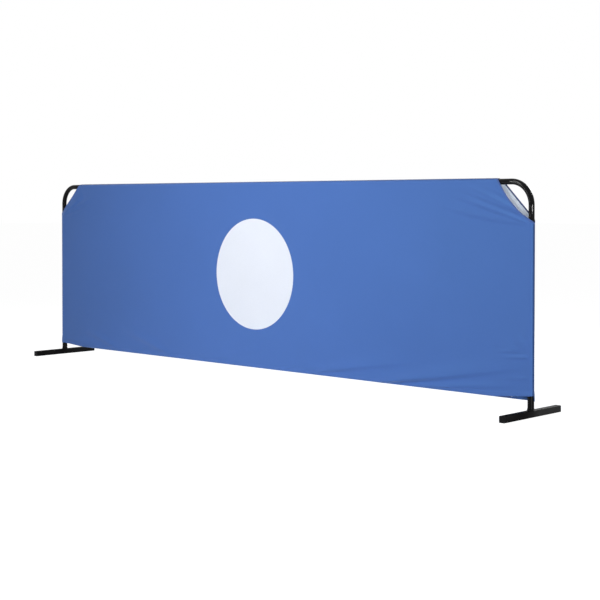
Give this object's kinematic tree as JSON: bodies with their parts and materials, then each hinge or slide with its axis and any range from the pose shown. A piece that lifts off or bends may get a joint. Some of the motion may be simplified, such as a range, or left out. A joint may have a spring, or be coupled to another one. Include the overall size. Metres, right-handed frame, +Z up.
{
  "type": "fabric panel barrier",
  "caption": "Free-standing low panel barrier: bent tube frame with rounded top corners, stretched cloth cover with cut corners, and bar feet that swivel to fold flat.",
  "frame": {"origin": "on the floor at the middle of the barrier's footprint", "axes": "+X along the barrier from its left to its right end, the front faces -Y, +Z up"},
  "size_m": [2.336, 0.29, 0.7017],
  "materials": {
    "frame_paint": "gloss black powder coat",
    "foot_paint": "satin black powder coat",
    "black_plastic": "moulded, fine grain",
    "washer_plastic": "smooth",
    "zinc_steel": "zinc plated",
    "cover_cloth": "knitted polyester",
    "edge_binding": "woven tape",
    "closure_tape": "hook and loop"
  },
  "bodies": {
    "frame": {"top_rail": "frame_paint", "lower_rail": "frame_paint", "left_upright": "frame_paint", "right_upright": "frame_paint", "left_top_connector": "zinc_steel", "right_top_connector": "zinc_steel", "left_lower_connector": "zinc_steel", "right_lower_connector": "zinc_steel", "left_arm_screw": "zinc_steel", "right_arm_screw": "zinc_steel", "left_rail_screw": "zinc_steel", "right_rail_screw": "zinc_steel", "left_lower_screw": "zinc_steel", "right_lower_screw": "zinc_steel", "left_collar": "black_plastic", "right_collar": "black_plastic", "left_stop_screw": "zinc_steel", "right_stop_screw": "zinc_steel", "cover_front": "cover_cloth", "cover_back": "cover_cloth", "closing_flap": "cover_cloth", "hook_tape": "closure_tape", "loop_tape": "closure_tape", "left_front_binding": "edge_binding", "left_back_binding": "edge_binding", "right_front_binding": "edge_binding", "right_back_binding": "edge_binding"},
    "left_foot": {"left_foot_bar": "foot_paint", "left_foot_spigot": "zinc_steel", "left_foot_washer": "washer_plastic", "left_front_cap": "black_plastic", "left_back_cap": "black_plastic"},
    "right_foot": {"right_foot_bar": "foot_paint", "right_foot_spigot": "zinc_steel", "right_foot_washer": "washer_plastic", "right_front_cap": "black_plastic", "right_back_cap": "black_plastic"}
  },
  "joints": [
    {"name": "left_foot_swivel", "type": "hinge", "parent": "frame", "child": "left_foot", "pos_m": [-1.156, 0, 0], "axis": [0, 0, 1], "range_deg": [-90, 90]},
    {"name": "right_foot_swivel", "type": "hinge", "parent": "frame", "child": "right_foot", "pos_m": [1.156, 0, 0], "axis": [0, 0, 1], "range_deg": [-90, 90]}
  ]
}
